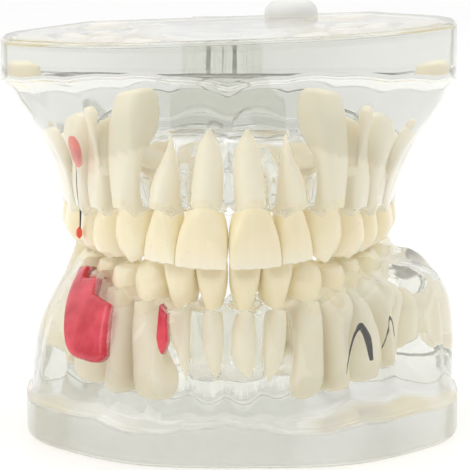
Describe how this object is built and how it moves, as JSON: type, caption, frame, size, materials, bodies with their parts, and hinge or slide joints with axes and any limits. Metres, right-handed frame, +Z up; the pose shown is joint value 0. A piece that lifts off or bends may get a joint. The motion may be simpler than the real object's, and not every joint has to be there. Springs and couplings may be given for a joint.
{
  "type": "typodont model",
  "caption": "Life-size clear resin teaching jaws with ivory teeth and marked disease, joined by a rear pin hinge so that the upper jaw opens.",
  "frame": {"origin": "on the table under the middle of the mouth, at the lower jaw's underside", "axes": "+Z up, -Y towards the front teeth, +X towards the patient's left"},
  "size_m": [0.0811, 0.0734, 0.0747],
  "materials": {
    "clear_resin": "gloss",
    "ivory_plastic": "gloss",
    "red_gum": "gloss",
    "abscess_red": "gloss",
    "canal_black": "satin",
    "frosted_silicone": "satin",
    "pin_steel": "satin",
    "nylon": "satin"
  },
  "bodies": {
    "lower": {"lower_jaw": "clear_resin", "lower_left_central_incisor": "ivory_plastic", "lower_left_lateral_incisor": "ivory_plastic", "lower_left_canine": "ivory_plastic", "lower_left_first_premolar": "ivory_plastic", "lower_left_second_premolar": "ivory_plastic", "lower_left_first_molar": "ivory_plastic", "lower_left_second_molar": "ivory_plastic", "lower_left_wisdom_tooth": "ivory_plastic", "lower_right_central_incisor": "ivory_plastic", "lower_right_lateral_incisor": "ivory_plastic", "lower_right_canine": "ivory_plastic", "lower_right_first_premolar": "ivory_plastic", "lower_right_second_premolar": "ivory_plastic", "lower_right_first_molar": "ivory_plastic", "lower_right_second_molar": "ivory_plastic", "lower_right_wisdom_tooth": "ivory_plastic", "inflamed_gum": "red_gum", "inflamed_papilla": "red_gum", "root_canal_mark_front": "canal_black", "root_canal_mark_rear": "canal_black", "lower_hinge_bracket": "clear_resin", "hinge_pin": "pin_steel", "hinge_washer_left": "nylon", "hinge_washer_right": "nylon", "pin_cap_left": "nylon", "pin_cap_right": "nylon"},
    "upper": {"upper_jaw": "clear_resin", "upper_left_central_incisor": "ivory_plastic", "upper_left_lateral_incisor": "ivory_plastic", "upper_left_canine": "ivory_plastic", "upper_left_first_premolar": "ivory_plastic", "upper_left_second_premolar": "ivory_plastic", "upper_left_first_molar": "ivory_plastic", "upper_left_second_molar": "ivory_plastic", "upper_left_wisdom_tooth": "ivory_plastic", "upper_right_central_incisor": "ivory_plastic", "upper_right_lateral_incisor": "ivory_plastic", "upper_right_canine": "ivory_plastic", "upper_right_first_premolar": "ivory_plastic", "upper_right_second_premolar": "ivory_plastic", "upper_right_first_molar": "ivory_plastic", "upper_right_second_molar": "ivory_plastic", "upper_right_wisdom_tooth": "ivory_plastic", "root_abscess": "abscess_red", "infected_canal": "canal_black", "pulp_spot": "abscess_red", "upper_hinge_lug": "clear_resin", "silicone_bumper": "frosted_silicone"}
  },
  "joints": [
    {"name": "jaw_hinge", "type": "hinge", "parent": "lower", "child": "upper", "pos_m": [-0.0008, 0.0372, 0.0446], "axis": [-1, 0, 0], "range_deg": [0, 100]}
  ]
}
